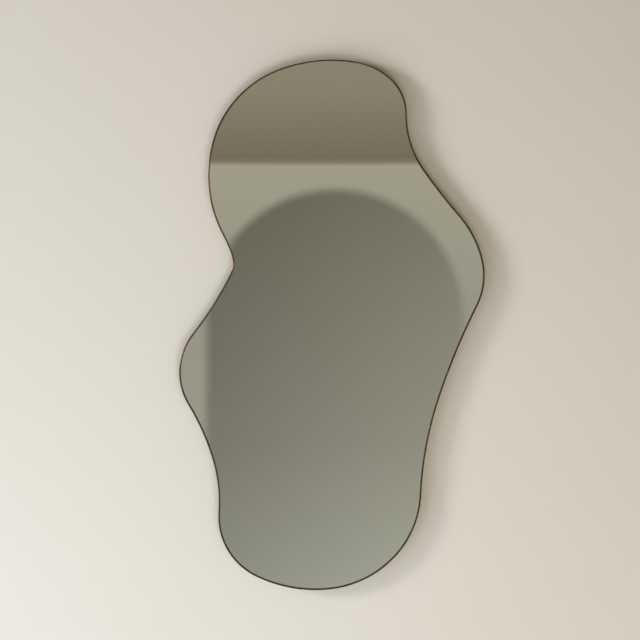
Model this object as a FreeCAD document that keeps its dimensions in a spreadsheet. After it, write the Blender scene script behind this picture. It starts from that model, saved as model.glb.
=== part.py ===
# Wall mirror with a free, pebble-like outline in a thin metal frame.
#
# Millimetres, +Z up, the mirror looks along -Y and the wall is the plane Y = 0.
# The origin lies on the wall, midway between the bearing points of the two upper D-rings,
# straight above the middle of the mirror's weight. "Depth" is a distance from the wall.
import FreeCAD, Part
import math
import os

import Sketcher

V = FreeCAD.Vector
FULL_TURN = 360.0
STRAIGHT = 1e-6

doc = FreeCAD.newDocument("PebbleMirror")

# ---------------------------------------------------------------- driving dimensions
# The outline is followed clockwise, seen from the front. Each station lies on the outer face of
# the frame: across, up, and how many degrees the outline leans to the left there from the
# straight line between the station before and the station after.
OUTLINE_SIZES = [
    ("crown", 53.5, 130.0, 9.5),
    ("temple", 138.0, 41.0, -34.0),
    ("shoulder", 229.0, -132.0, 20.5),
    ("bulge", 258.0, -285.0, -18.5),
    ("foot_right", 162.5, -606.0, 25.0),
    ("foot_left", 5.0, -767.0, 0.5),
    ("heel", -182.5, -635.5, -41.0),
    ("belly", -234.0, -452.5, 34.0),
    ("waist", -163.0, -232.0, -15.5),
    ("head_left", -176.0, -162.5, 41.5),
    ("brow", -76.5, 118.5, -32.5),
]
STATIONS = [row[0] for row in OUTLINE_SIZES]
SIZES = [
    ("frame_wall", 2.0, "thickness of the band that shows as a thin line from the front"),
    ("wall_gap", 1.0, "frame's rear edge off the wall, so that only the bumpers touch it"),
    ("cavity_depth", 5.5, "rear edge of the frame to the flange"),
    ("flange_thickness", 1.5, "inner flange that the board rests on"),
    ("flange_width", 8.0, "reach of the flange inside the band"),
    ("board_thickness", 9.0, "backing board"),
    ("tape_thickness", 1.0, "foam tape between board and glass"),
    ("film_thickness", 0.15, "safety film on the back of the glass"),
    ("silver_thickness", 0.1, "mirror layer with its paint"),
    ("glass_thickness", 4.0, "glass"),
    ("lip_height", 0.75, "how far the band stands proud of the glass"),
    ("lip_round", 0.4, "rounding of the band's front edges"),
    ("glass_clearance", 0.5, "glass edge to band"),
    ("glass_arris", 0.5, "ground edge of the glass"),
    ("layer_margin", 1.0, "mirror layer and film kept back from the glass edge"),
    ("board_clearance", 0.5, "board edge to band"),
    ("seam_gap", 0.2, "joint where the ends of the bent band meet"),
    ("splice_length", 44.0, "plate behind the joint"),
    ("splice_width", 6.0, "plate behind the joint"),
    ("splice_thickness", 1.2, "plate behind the joint"),
    ("splice_screw_first", 7.0, "joint to the first screw on each side"),
    ("splice_end_margin", 5.0, "last screw to the plate's end"),
    ("splice_screw_diameter", 3.0, "shank"),
    ("splice_screw_short", 0.2, "tip kept back from the flange's front"),
    ("flange_screw_count", 16, "screws that hold the board on the flange"),
    ("flange_screw_diameter", 3.0, "shank"),
    ("screw_clearance", 0.1, "round a screw's shank, on the radius"),
    ("screw_cover", 2.5, "board left between a screw's tip and the board's front"),
    ("head_height_ratio", 0.6, "height of a pan head for each mm of shank diameter"),
    ("head_width_ratio", 1.9, "width of a pan head for each mm of shank diameter"),
    ("tape_width", 18.0, "strips of mounting tape"),
    ("tape_middle_x", 0.0, "place of one strip, from which the others step"),
    ("tape_pitch", 65.0, "strip to strip"),
    ("tape_margin", 14.0, "ends of the strips kept back from the mirror layer's edge"),
    ("tape_shortest", 90.0, "a strip shorter than this is left out"),
    ("bead_width", 7.0, "pressed beads of mirror adhesive between the strips"),
    ("bead_margin", 34.0, "ends of the beads kept back from the mirror layer's edge"),
    ("hanger_half_spacing", 90.0, "upper D-rings, each side of the middle"),
    ("side_hanger_inset", 38.0, "D-rings for hanging it sideways, from the right side in"),
    ("side_hanger_middle_z", -314.5, "height of the middle of the mirror's weight"),
    ("side_hanger_half_spacing", 130.0, "D-rings for hanging it sideways, above and below"),
    ("side_hanger_turn", 90.0, "degrees that those D-rings are turned clockwise"),
    ("strap_thickness", 1.2, "hanger strap, rolled round the ring's bar"),
    ("strap_width", 16.0, "hanger strap"),
    ("strap_length", 36.0, "ring axis to the strap's end"),
    ("strap_corner", 5.0, "rounding of the strap's end"),
    ("strap_end_margin", 8.0, "last screw to the strap's end"),
    ("strap_screw_diameter", 3.5, "shank"),
    ("ring_wire", 3.0, "diameter of the ring's wire"),
    ("ring_running_clearance", 0.08, "ring's bar in the rolled strap, on the radius"),
    ("ring_side_clearance", 1.0, "rolled strap's end to where the wire bends"),
    ("ring_straight", 5.0, "from the bar to where the bow begins"),
    ("ring_corner", 3.0, "radius of the wire's middle at the bar's ends"),
    ("ring_rest_gap", 0.4, "bow to board when the ring leans on it"),
    ("bumper_diameter", 16.0, "rubber bumper at the board"),
    ("bumper_tip_diameter", 14.0, "rubber bumper at the wall"),
    ("bumper_wall", 2.2, "rubber round the recess, at the wall"),
    ("bumper_inset", 24.0, "bumper's middle from the outline"),
    ("bumper_bore_play", 0.35, "round the screw, on the radius"),
    ("bumper_recess_depth", 4.0, "leaves the screw below the tip"),
    ("washer_play", 0.3, "washer in the recess, and on its screw, on the radius"),
    ("washer_thickness", 0.8, "washer"),
    ("bumper_screw_diameter", 3.5, "shank"),
]
BUMPER_STATIONS = ["crown", "shoulder", "foot_right", "foot_left", "belly", "head_left"]

# Shares of a pan head's half width or height, for its dome and its cross slot.
DOME_WIDTH_SHARE = 0.72
DOME_HEIGHT_SHARE = 0.86
RIM_HEIGHT_SHARE = 0.33
SLOT_LENGTH_SHARE = 1.2
SLOT_WIDTH_SHARE = 0.3
SLOT_FLOOR_SHARE = 0.45
TIP_LENGTH_SHARE = 1.5

# How close counts as the same place, and the length of the tangent lines drawn in sketches.
TOUCH = 0.001
TANGENT_LINE = 10.0

sheet = doc.addObject("Spreadsheet::Sheet", "Sizes")


# A length or angle of the model: its number, and the expression that says where it comes from.
class Measure:
    def __init__(self, text, number):
        self.text = text
        self.number = number

    def combine(self, other, sign, result):
        text = other.text if isinstance(other, Measure) else repr(float(other))
        return Measure("(" + self.text + " " + sign + " " + text + ")", result)

    def __add__(self, other):
        return self.combine(other, "+", self.number + plain(other))

    def __sub__(self, other):
        return self.combine(other, "-", self.number - plain(other))

    def __mul__(self, other):
        return self.combine(other, "*", self.number * plain(other))

    def __truediv__(self, other):
        return self.combine(other, "/", self.number / plain(other))

    def __neg__(self):
        return Measure("(0 - " + self.text + ")", -self.number)


def plain(value):
    return value.number if isinstance(value, Measure) else float(value)


def fill_sheet():
    rows = []
    for name, across, up, lean in OUTLINE_SIZES:
        rows.append((name + "_x", across, "outline station, across"))
        rows.append((name + "_z", up, "outline station, up"))
        rows.append((name + "_lean", lean, "outline station, degrees to the left"))
    rows += SIZES
    for row, (alias, number, note) in enumerate(rows, start=1):
        sheet.set("A%d" % row, alias)
        sheet.set("B%d" % row, str(number))
        sheet.set("C%d" % row, note)
        sheet.setAlias("B%d" % row, alias)
    doc.recompute()
    return {alias: Measure("Sizes." + alias, float(sheet.get(alias))) for alias, _, _ in rows}


size = fill_sheet()


def bind(item, path, measure):
    item.setExpression(path, measure.text)


# Angles are kept as plain numbers of degrees.
def cosine(angle):
    return Measure("cos(" + angle.text + " * 1 deg)", math.cos(math.radians(angle.number)))


def sine(angle):
    return Measure("sin(" + angle.text + " * 1 deg)", math.sin(math.radians(angle.number)))


def arc_sine(share):
    return Measure("(asin(" + share.text + ") / 1 deg)", math.degrees(math.asin(share.number)))


def direction(across, up):
    text = "(atan2(" + up.text + "; " + across.text + ") / 1 deg)"
    return Measure(text, math.degrees(math.atan2(up.number, across.number)))


# The same angle between -180 and 180 degrees.
def within_half_turn(angle):
    turned = angle + 1.5 * FULL_TURN
    text = "(mod(" + turned.text + "; %d) - %d)" % (FULL_TURN, FULL_TURN / 2)
    return Measure(text, math.fmod(turned.number, FULL_TURN) - FULL_TURN / 2)


# ---------------------------------------------------------------- depths and insets
flange_rear = size["wall_gap"] + size["cavity_depth"]
board_rear = flange_rear + size["flange_thickness"]
board_front = board_rear + size["board_thickness"]
film_rear = board_front + size["tape_thickness"]
silver_rear = film_rear + size["film_thickness"]
glass_rear = silver_rear + size["silver_thickness"]
glass_front = glass_rear + size["glass_thickness"]
frame_front = glass_front + size["lip_height"]
frame_depth = frame_front - size["wall_gap"]

glass_inset = size["frame_wall"] + size["glass_clearance"]
layer_inset = glass_inset + size["layer_margin"]
board_inset = size["frame_wall"] + size["board_clearance"]
flange_inset = size["frame_wall"] + size["flange_width"]
flange_screw_inset = size["frame_wall"] + size["flange_width"] / 2
zero = Measure("0", 0.0)

flange_bore = size["flange_screw_diameter"] + size["screw_clearance"] * 2
splice_bore = size["splice_screw_diameter"] + size["screw_clearance"] * 2
strap_bore = size["strap_screw_diameter"] + size["screw_clearance"] * 2
bumper_pilot = size["bumper_screw_diameter"] + size["screw_clearance"] * 2
screw_tip = board_front - size["screw_cover"]
pilot_depth = size["board_thickness"] - size["screw_cover"] + size["screw_clearance"] * 2
splice_seat = flange_rear - size["splice_thickness"]
splice_screw_tip = board_rear - size["splice_screw_short"]

knuckle_inner = size["ring_wire"] / 2 + size["ring_running_clearance"]
knuckle_outer = knuckle_inner + size["strap_thickness"]
strap_seat = board_rear - size["strap_thickness"]
ring_half_width = size["strap_width"] / 2 + size["ring_side_clearance"] + size["ring_corner"]
ring_height = size["ring_straight"] + ring_half_width
ring_reach = ring_height - size["ring_wire"] / 2
ring_room = knuckle_outer - size["ring_wire"] / 2 - size["ring_rest_gap"]
ring_lean = arc_sine(ring_room / ring_height)
strap_screw_near = (knuckle_outer + ring_reach) / 2
strap_screw_far = size["strap_length"] - size["strap_end_margin"]

bumper_recess = size["bumper_tip_diameter"] - size["bumper_wall"] * 2
washer_diameter = bumper_recess - size["washer_play"] * 2
washer_bore = size["bumper_screw_diameter"] + size["washer_play"] * 2
bumper_screw_seat = size["bumper_recess_depth"] - size["washer_thickness"]


# ---------------------------------------------------------------- the outline
# A junction of the outline: its place, and the direction of travel there in degrees.
class Junction:
    def __init__(self, across, up, heading):
        self.across = across
        self.up = up
        self.heading = heading

    # The same junction on the outline drawn that far inside.
    def moved_in(self, inset):
        across = self.across + inset * sine(self.heading)
        up = self.up - inset * cosine(self.heading)
        return Junction(across, up, self.heading)

    def point(self):
        return V(self.across.number, self.up.number, 0)


def station(index):
    here, before, after = [STATIONS[(index + step) % len(STATIONS)] for step in (0, -1, 1)]
    chord = direction(size[after + "_x"] - size[before + "_x"],
                      size[after + "_z"] - size[before + "_z"])
    heading = within_half_turn(chord + size[here + "_lean"])
    return Junction(size[here + "_x"], size[here + "_z"], heading)


# Between two stations run two arcs that meet in a shared tangent, as far from one station as
# from the other. Their bends from the chord give the direction and the rise of that point.
def meeting_point(first, second):
    across = second.across - first.across
    up = second.up - first.up
    chord = direction(across, up)
    bend_in = within_half_turn(first.heading - chord)
    bend_out = within_half_turn(chord - second.heading)
    rise = math.tan(math.radians(bend_in.number + bend_out.number) / 4) / 2
    middle_across = (first.across.number + second.across.number) / 2 - up.number * rise
    middle_up = (first.up.number + second.up.number) / 2 + across.number * rise
    heading = chord + (bend_out - bend_in) / 2
    return Junction(fixed(middle_across), fixed(middle_up), heading)


def fixed(number):
    return Measure(repr(number), number)


def outline_junctions():
    junctions = []
    for index in range(len(STATIONS)):
        first = station(index)
        junctions.append(first)
        junctions.append(meeting_point(first, station(index + 1)))
    return junctions


# One arc of the outline. A bend to the right has a positive radius, one to the left a negative.
class OutlineArc:
    def __init__(self, first, second, inset):
        turn = math.remainder(first.heading.number - second.heading.number, FULL_TURN)
        half = math.radians(turn / 2)
        chord = (second.point() - first.point()).Length
        self.start_heading = math.radians(first.heading.number)
        self.straight = abs(half) < STRAIGHT
        if self.straight:
            self.radius = 0.0
            self.length = chord
        else:
            self.radius = chord / (2 * math.sin(half)) - inset
            self.length = self.radius * 2 * half
        self.start = first.point() + normal(self.start_heading) * inset

    def point(self, along):
        heading = self.start_heading
        if self.straight:
            return self.start + V(math.cos(heading), math.sin(heading), 0) * along
        later = heading - along / self.radius
        across = self.radius * (math.sin(heading) - math.sin(later))
        up = self.radius * (math.cos(later) - math.cos(heading))
        return self.start + V(across, up, 0)

    def heading(self, along):
        if self.straight:
            return self.start_heading
        return self.start_heading - along / self.radius

    def centre(self):
        return self.start + normal(self.start_heading) * self.radius

    def curve(self):
        end = self.point(self.length)
        if self.straight:
            return Part.LineSegment(self.start, end)
        centre = self.centre()
        first = self.start - centre
        last = end - centre
        start_angle = math.atan2(first.y, first.x)
        end_angle = math.atan2(last.y, last.x)
        circle = Part.Circle(centre, V(0, 0, 1), abs(self.radius))
        if self.radius > 0:
            return Part.ArcOfCircle(circle, end_angle, start_angle)
        return Part.ArcOfCircle(circle, start_angle, end_angle)

    # Which end of the drawn curve is the start of travel: an arc is stored counter-clockwise.
    def start_end_keys(self):
        return (2, 1) if self.radius > 0 else (1, 2)


# The unit vector to the inside of the outline, for a heading in radians.
def normal(heading):
    return V(math.sin(heading), -math.cos(heading), 0)


def outline_arcs(inset):
    junctions = outline_junctions()
    arcs = []
    for index, junction in enumerate(junctions):
        following = junctions[(index + 1) % len(junctions)]
        arcs.append(OutlineArc(junction, following, plain(inset)))
    return arcs


# The point of the inset outline at a distance along it, and the direction of travel there.
def outline_place(arcs, along):
    along %= sum(arc.length for arc in arcs)
    for arc in arcs:
        if along <= arc.length:
            return arc.point(along), arc.heading(along)
        along -= arc.length
    return arcs[0].start, arcs[0].start_heading


def outline_face(inset):
    edges = []
    for arc in outline_arcs(inset):
        edges.append(arc.curve().toShape())
    face = Part.Face(Part.Wire(edges))
    face.rotate(V(0, 0, 0), V(1, 0, 0), 90)
    return face


# The longest clear run of an upright strip inside the outline: its lower and upper end.
def upright_run(face, middle, width):
    far = face.BoundBox.DiagonalLength + face.BoundBox.Center.Length
    low = -far
    high = far
    for across in (middle - width / 2, middle, middle + width / 2):
        line = Part.makeLine(V(across, 0, -far), V(across, 0, far))
        runs = face.common(line).Edges
        if not runs:
            return 0.0, 0.0
        longest = max(runs, key=lambda edge: edge.Length)
        low = max(low, longest.BoundBox.ZMin)
        high = min(high, longest.BoundBox.ZMax)
    return low, high


# How far to the right the outline reaches at a height.
def right_side(face, height):
    far = face.BoundBox.DiagonalLength + face.BoundBox.Center.Length
    line = Part.makeLine(V(-far, 0, height), V(far, 0, height))
    return face.common(line).BoundBox.XMax


# The strips or beads that fit: each one's middle, lower and upper end.
def upright_places(margin, first, width):
    face = outline_face(layer_inset + margin)
    pitch = size["tape_pitch"].number
    shortest = size["tape_shortest"].number
    reach = face.BoundBox.XLength + abs(face.BoundBox.Center.x)
    steps = int(reach / pitch)
    places = []
    for step in range(-steps, steps + 1):
        middle = first + pitch * step
        low, high = upright_run(face, middle, width)
        if high - low > shortest:
            places.append((middle, low, high))
    return places


# ---------------------------------------------------------------- bodies and sketches
nodes = []


def new_body(label):
    body = doc.addObject("PartDesign::Body", label)
    body.Label = label
    nodes.append(body)
    return body


def new_sketch(body, name, away=None, role="XZ_Plane"):
    sketch = body.newObject("Sketcher::SketchObject", body.Label + "_" + name)
    plane = [item for item in body.Origin.OriginFeatures if item.Role == role][0]
    sketch.AttachmentSupport = (plane, [""])
    sketch.MapMode = "FlatFace"
    if away is not None:
        bind(sketch, "AttachmentOffset.Base.z", away)
    return sketch


def add_pad(body, name, sketch, length):
    feature = body.newObject("PartDesign::Pad", body.Label + "_" + name)
    feature.Profile = sketch
    bind(feature, "Length", length)
    sketch.Visibility = False
    return feature


# A pocket from the sketch towards the front of the mirror. It has to take material away.
def add_pocket(body, name, sketch, depth):
    doc.recompute()
    before = body.Shape.Volume
    feature = body.newObject("PartDesign::Pocket", body.Label + "_" + name)
    feature.Profile = sketch
    feature.Reversed = True
    bind(feature, "Length", depth)
    sketch.Visibility = False
    doc.recompute()
    if body.Shape.Volume >= before:
        raise ValueError(feature.Label + " cuts nothing")
    return feature


# One outline in a sketch: its arcs, and at each junction a short tangent line that carries the
# direction of travel. Stations and directions are bound to the sheet, the radii follow.
def draw_outline(sketch, inset):
    junctions = outline_junctions()
    arcs = outline_arcs(inset)
    lines = []
    for arc in arcs:
        ahead = V(math.cos(arc.start_heading), math.sin(arc.start_heading), 0)
        lines.append(Part.LineSegment(arc.start, arc.start + ahead * TANGENT_LINE))
    drawn_arcs = sketch.addGeometry([arc.curve() for arc in arcs], False)
    drawn_lines = sketch.addGeometry(lines, True)
    rules = []
    bindings = []
    for index, arc in enumerate(arcs):
        line = drawn_lines[index]
        start_key = arc.start_end_keys()[0]
        end_key = arcs[index - 1].start_end_keys()[1]
        rules.append(Sketcher.Constraint("Tangent", line, 1, drawn_arcs[index], start_key))
        rules.append(Sketcher.Constraint("Tangent", line, 1, drawn_arcs[index - 1], end_key))
        rules.append(Sketcher.Constraint("Distance", line, TANGENT_LINE))
        bindings.append((len(rules), junctions[index].heading * Measure("1 deg", 1.0)))
        rules.append(Sketcher.Constraint("Angle", line, math.remainder(arc.start_heading, math.tau)))
        if index % 2 == 0:
            moved = junctions[index].moved_in(inset)
            bindings.append((len(rules), moved.across))
            rules.append(Sketcher.Constraint("DistanceX", line, 1, moved.across.number))
            bindings.append((len(rules), moved.up))
            rules.append(Sketcher.Constraint("DistanceY", line, 1, moved.up.number))
    added = sketch.addConstraint(rules)
    for position, measure in bindings:
        bind(sketch, "Constraints[%d]" % added[position], measure)


def draw_circles(sketch, places, diameter):
    for place in places:
        circle = Part.Circle(V(place[0], place[1], 0), V(0, 0, 1), diameter.number / 2)
        drawn = sketch.addGeometry(circle, False)
        rule = sketch.addConstraint(Sketcher.Constraint("Diameter", drawn, diameter.number))
        bind(sketch, "Constraints[%d]" % rule, diameter)


def outline_plate(label, inset, rear, thickness):
    body = new_body(label)
    sketch = new_sketch(body, "Outline", rear)
    draw_outline(sketch, inset)
    return body, add_pad(body, "Plate", sketch, thickness)


def edges_at_depth(shape, depth):
    found = []
    for number, edge in enumerate(shape.Edges, start=1):
        box = edge.BoundBox
        if abs(box.YMin + depth) < TOUCH and abs(box.YMax + depth) < TOUCH:
            found.append("Edge%d" % number)
    return found


# ---------------------------------------------------------------- places along the frame
def seam_place(inset):
    arcs = outline_arcs(inset)
    seam_arc = arcs[2 * STATIONS.index("foot_right") + 1]
    return arcs, seam_arc


def seam_distance(arcs, seam_arc):
    along = 0.0
    for arc in arcs:
        if arc is seam_arc:
            return along + arc.length / 2
        along += arc.length
    raise ValueError("the joint's arc is not on the outline")


def flange_screw_places():
    arcs, seam_arc = seam_place(flange_screw_inset)
    count = int(size["flange_screw_count"].number)
    pitch = sum(arc.length for arc in arcs) / count
    first = seam_distance(arcs, seam_arc) + pitch / 2
    places = []
    for number in range(count):
        point, _ = outline_place(arcs, first + number * pitch)
        places.append((point.x, point.y))
    return places


def splice_screw_places():
    arcs, seam_arc = seam_place(flange_screw_inset)
    middle = seam_distance(arcs, seam_arc)
    near = size["splice_screw_first"].number
    far = (size["splice_length"] / 2 - size["splice_end_margin"]).number
    places = []
    for distance in (-far, -near, near, far):
        point, _ = outline_place(arcs, middle + distance)
        places.append((point.x, point.y))
    return places


def bumper_places():
    places = []
    for name in BUMPER_STATIONS:
        point = station(STATIONS.index(name)).moved_in(size["bumper_inset"]).point()
        places.append((point.x, point.y))
    return places


# Each hanger: name, the ring's bearing point across and up, and the degrees it is turned
# clockwise, seen from the front, from a ring that points up.
def hanger_list():
    half = size["hanger_half_spacing"]
    middle = size["side_hanger_middle_z"]
    above = middle + size["side_hanger_half_spacing"]
    below = middle - size["side_hanger_half_spacing"]
    face = outline_face(zero)
    edge = min(right_side(face, above.number), right_side(face, below.number))
    side = fixed(edge) - size["side_hanger_inset"]
    turn = size["side_hanger_turn"]
    return [
        ("upper_left", -half, zero, zero),
        ("upper_right", half, zero, zero),
        ("side_upper", side, above, turn),
        ("side_lower", side, below, turn),
    ]


# The ring's axis lies behind its bearing point by the reach of the leaning ring.
def hanger_origin(across, up, turn):
    reach = ring_reach * cosine(ring_lean)
    return across - reach * sine(turn), up - reach * cosine(turn)


def strap_screw_places():
    places = []
    for _, across, up, turn in hanger_list():
        x, z = hanger_origin(across, up, turn)
        for distance in (strap_screw_near, strap_screw_far):
            screw_x = x - distance * sine(turn)
            screw_z = z - distance * cosine(turn)
            places.append((screw_x.number, screw_z.number))
    return places


# ---------------------------------------------------------------- screws
# A pan-head screw whose head sits on the plane Y = 0 and whose shank runs to the front.
def screw_solid(diameter, length):
    radius = diameter / 2
    head_radius = radius * size["head_width_ratio"].number
    head_height = diameter * size["head_height_ratio"].number
    tip_length = min(radius * TIP_LENGTH_SHARE, length / 2)
    corners = [
        V(0, -length, 0),
        V(radius, -length + tip_length, 0),
        V(radius, 0, 0),
        V(head_radius, 0, 0),
        V(head_radius, head_height * RIM_HEIGHT_SHARE, 0),
    ]
    top = V(0, head_height, 0)
    dome = V(head_radius * DOME_WIDTH_SHARE, head_height * DOME_HEIGHT_SHARE, 0)
    edges = [Part.makeLine(corners[i], corners[i + 1]) for i in range(len(corners) - 1)]
    edges.append(Part.Arc(corners[-1], dome, top).toShape())
    edges.append(Part.makeLine(top, corners[0]))
    screw = Part.Face(Part.Wire(edges)).revolve(V(0, 0, 0), V(0, 1, 0), FULL_TURN)
    slot_length = head_radius * SLOT_LENGTH_SHARE
    slot_width = head_radius * SLOT_WIDTH_SHARE
    slot_floor = head_height * SLOT_FLOOR_SHARE
    for long_side, short_side in ((slot_length, slot_width), (slot_width, slot_length)):
        corner = V(-long_side / 2, slot_floor, -short_side / 2)
        screw = screw.cut(Part.makeBox(long_side, head_height, short_side, corner))
    return screw


def new_group(label, solids):
    group = doc.addObject("Part::Feature", label)
    group.Label = label
    group.Shape = Part.makeCompound(solids)
    nodes.append(group)
    return group


# Screws of one kind, each with its head at one depth and its tip at another.
def screw_group(label, places, seat, tip, diameter):
    pattern = screw_solid(diameter.number, (tip - seat).number)
    solids = []
    for across, up in places:
        solids.append(pattern.translated(V(across, -seat.number, up)))
    return new_group(label, solids)


# ---------------------------------------------------------------- frame
# The band and its flange are one bent profile: a hollow in front for the glass and board, a
# shallow one behind for the hangers, and the opening that the flange runs round.
def make_frame_band():
    body = new_body("frame_band")
    slab = new_sketch(body, "Outline", size["wall_gap"])
    draw_outline(slab, zero)
    add_pad(body, "Slab", slab, frame_depth)
    front = new_sketch(body, "FrontHollow", board_rear)
    draw_outline(front, size["frame_wall"])
    hollow = add_pocket(body, "FrontHollow", front, frame_front - board_rear)
    rounding = body.newObject("PartDesign::Fillet", "frame_band_Lip")
    rounding.Base = (hollow, edges_at_depth(hollow.Shape, frame_front.number))
    bind(rounding, "Radius", size["lip_round"])
    rear = new_sketch(body, "RearHollow", size["wall_gap"])
    draw_outline(rear, size["frame_wall"])
    add_pocket(body, "RearHollow", rear, size["cavity_depth"])
    opening = new_sketch(body, "Opening", flange_rear)
    draw_outline(opening, flange_inset)
    add_pocket(body, "Opening", opening, size["flange_thickness"])
    holes = new_sketch(body, "BoardScrewHoles", flange_rear)
    draw_circles(holes, flange_screw_places(), flange_bore)
    add_pocket(body, "BoardScrewHoles", holes, size["flange_thickness"])
    taps = new_sketch(body, "SpliceHoles", flange_rear)
    draw_circles(taps, splice_screw_places(), splice_bore)
    add_pocket(body, "SpliceHoles", taps, size["flange_thickness"])
    seam = new_sketch(body, "Seam", size["wall_gap"])
    draw_seam(seam)
    add_pocket(body, "Seam", seam, frame_depth)


# The joint is a narrow slot across the band and its flange, square to the outline.
def draw_seam(sketch):
    arcs, seam_arc = seam_place(zero)
    middle = seam_arc.point(seam_arc.length / 2)
    heading = seam_arc.heading(seam_arc.length / 2)
    ahead = V(math.cos(heading), math.sin(heading), 0)
    into = normal(heading)
    outside = size["frame_wall"].number
    inside = flange_inset.number + size["frame_wall"].number
    half = ahead * (size["seam_gap"].number / 2)
    corners = [
        middle - into * outside - half,
        middle - into * outside + half,
        middle + into * inside + half,
        middle + into * inside - half,
    ]
    lines = [Part.LineSegment(corners[i - 1], corners[i]) for i in range(4)]
    drawn = sketch.addGeometry(lines, False)
    rules = [Sketcher.Constraint("Coincident", drawn[i - 1], 2, drawn[i], 1) for i in range(4)]
    rules.append(Sketcher.Constraint("Distance", drawn[1], size["seam_gap"].number))
    added = sketch.addConstraint(rules)
    bind(sketch, "Constraints[%d]" % added[-1], size["seam_gap"])


def make_splice_plate():
    body = new_body("splice_plate")
    _, seam_arc = seam_place(flange_screw_inset)
    sketch = new_sketch(body, "Sector", splice_seat)
    centre = seam_arc.centre()
    toward = seam_arc.point(seam_arc.length / 2) - centre
    middle_angle = math.atan2(toward.y, toward.x)
    half_angle = size["splice_length"].number / 2 / abs(seam_arc.radius)
    half_width = size["splice_width"].number / 2
    radii = (abs(seam_arc.radius) + half_width, abs(seam_arc.radius) - half_width)
    span = (middle_angle - half_angle, middle_angle + half_angle)
    arcs = []
    for radius in radii:
        circle = Part.Circle(centre, V(0, 0, 1), radius)
        arcs.append(Part.ArcOfCircle(circle, span[0], span[1]))
    ends = [
        Part.LineSegment(arcs[0].EndPoint, arcs[1].EndPoint),
        Part.LineSegment(arcs[1].StartPoint, arcs[0].StartPoint),
    ]
    drawn = sketch.addGeometry(arcs + ends, False)
    outer, inner, last, first = drawn
    added = sketch.addConstraint([
        Sketcher.Constraint("Coincident", outer, 2, last, 1),
        Sketcher.Constraint("Coincident", last, 2, inner, 2),
        Sketcher.Constraint("Coincident", inner, 1, first, 1),
        Sketcher.Constraint("Coincident", first, 2, outer, 1),
        Sketcher.Constraint("Coincident", outer, 3, inner, 3),
        Sketcher.Constraint("Distance", last, size["splice_width"].number),
    ])
    bind(sketch, "Constraints[%d]" % added[-1], size["splice_width"])
    add_pad(body, "Plate", sketch, size["splice_thickness"])
    holes = new_sketch(body, "Holes", splice_seat)
    draw_circles(holes, splice_screw_places(), splice_bore)
    add_pocket(body, "Holes", holes, size["splice_thickness"])
    screw_group("splice_screws", splice_screw_places(), splice_seat, splice_screw_tip,
                size["splice_screw_diameter"])


# ---------------------------------------------------------------- glass, layers and board
def make_glass():
    body, plate = outline_plate("mirror_glass", glass_inset, glass_rear, size["glass_thickness"])
    doc.recompute()
    arris = body.newObject("PartDesign::Chamfer", "mirror_glass_Arris")
    front = edges_at_depth(plate.Shape, glass_front.number)
    rear = edges_at_depth(plate.Shape, glass_rear.number)
    arris.Base = (plate, front + rear)
    bind(arris, "Size", size["glass_arris"])


def make_layers():
    outline_plate("mirror_silvering", layer_inset, silver_rear, size["silver_thickness"])
    outline_plate("safety_film", layer_inset, film_rear, size["film_thickness"])


def make_backing_board():
    body, _ = outline_plate("backing_board", board_inset, board_rear, size["board_thickness"])
    pilots = new_sketch(body, "Pilots", board_rear)
    draw_circles(pilots, flange_screw_places(), flange_bore)
    draw_circles(pilots, strap_screw_places(), strap_bore)
    draw_circles(pilots, bumper_places(), bumper_pilot)
    add_pocket(body, "Pilots", pilots, pilot_depth)


def make_tape():
    width = size["tape_width"]
    places = upright_places(size["tape_margin"], size["tape_middle_x"].number, width.number)
    for number, (middle, low, high) in enumerate(places, start=1):
        label = "mounting_tape_%d" % number
        strip = doc.addObject("Part::Box", label)
        strip.Label = label
        bind(strip, "Length", width)
        bind(strip, "Width", size["tape_thickness"])
        strip.Height = high - low
        strip.Placement.Base = V(0, 0, low)
        bind(strip, "Placement.Base.x", fixed(middle) - width / 2)
        bind(strip, "Placement.Base.y", -film_rear)
        nodes.append(strip)


# Beads of adhesive, pressed as thin as the tape, with round ends, midway between the strips.
def make_adhesive_beads():
    width = size["bead_width"].number
    first = (size["tape_middle_x"] + size["tape_pitch"] / 2).number
    radius = width / 2
    side = V(radius, 0, 0)
    solids = []
    for middle, low, high in upright_places(size["bead_margin"], first, width):
        top = V(middle, 0, high - radius)
        bottom = V(middle, 0, low + radius)
        edges = [
            Part.makeLine(bottom - side, top - side),
            Part.Arc(top - side, top + V(0, 0, radius), top + side).toShape(),
            Part.makeLine(top + side, bottom + side),
            Part.Arc(bottom + side, bottom - V(0, 0, radius), bottom - side).toShape(),
        ]
        bead = Part.Face(Part.Wire(edges)).extrude(V(0, size["tape_thickness"].number, 0))
        solids.append(bead.translated(V(0, -film_rear.number, 0)))
    new_group("adhesive_beads", solids)


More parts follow.
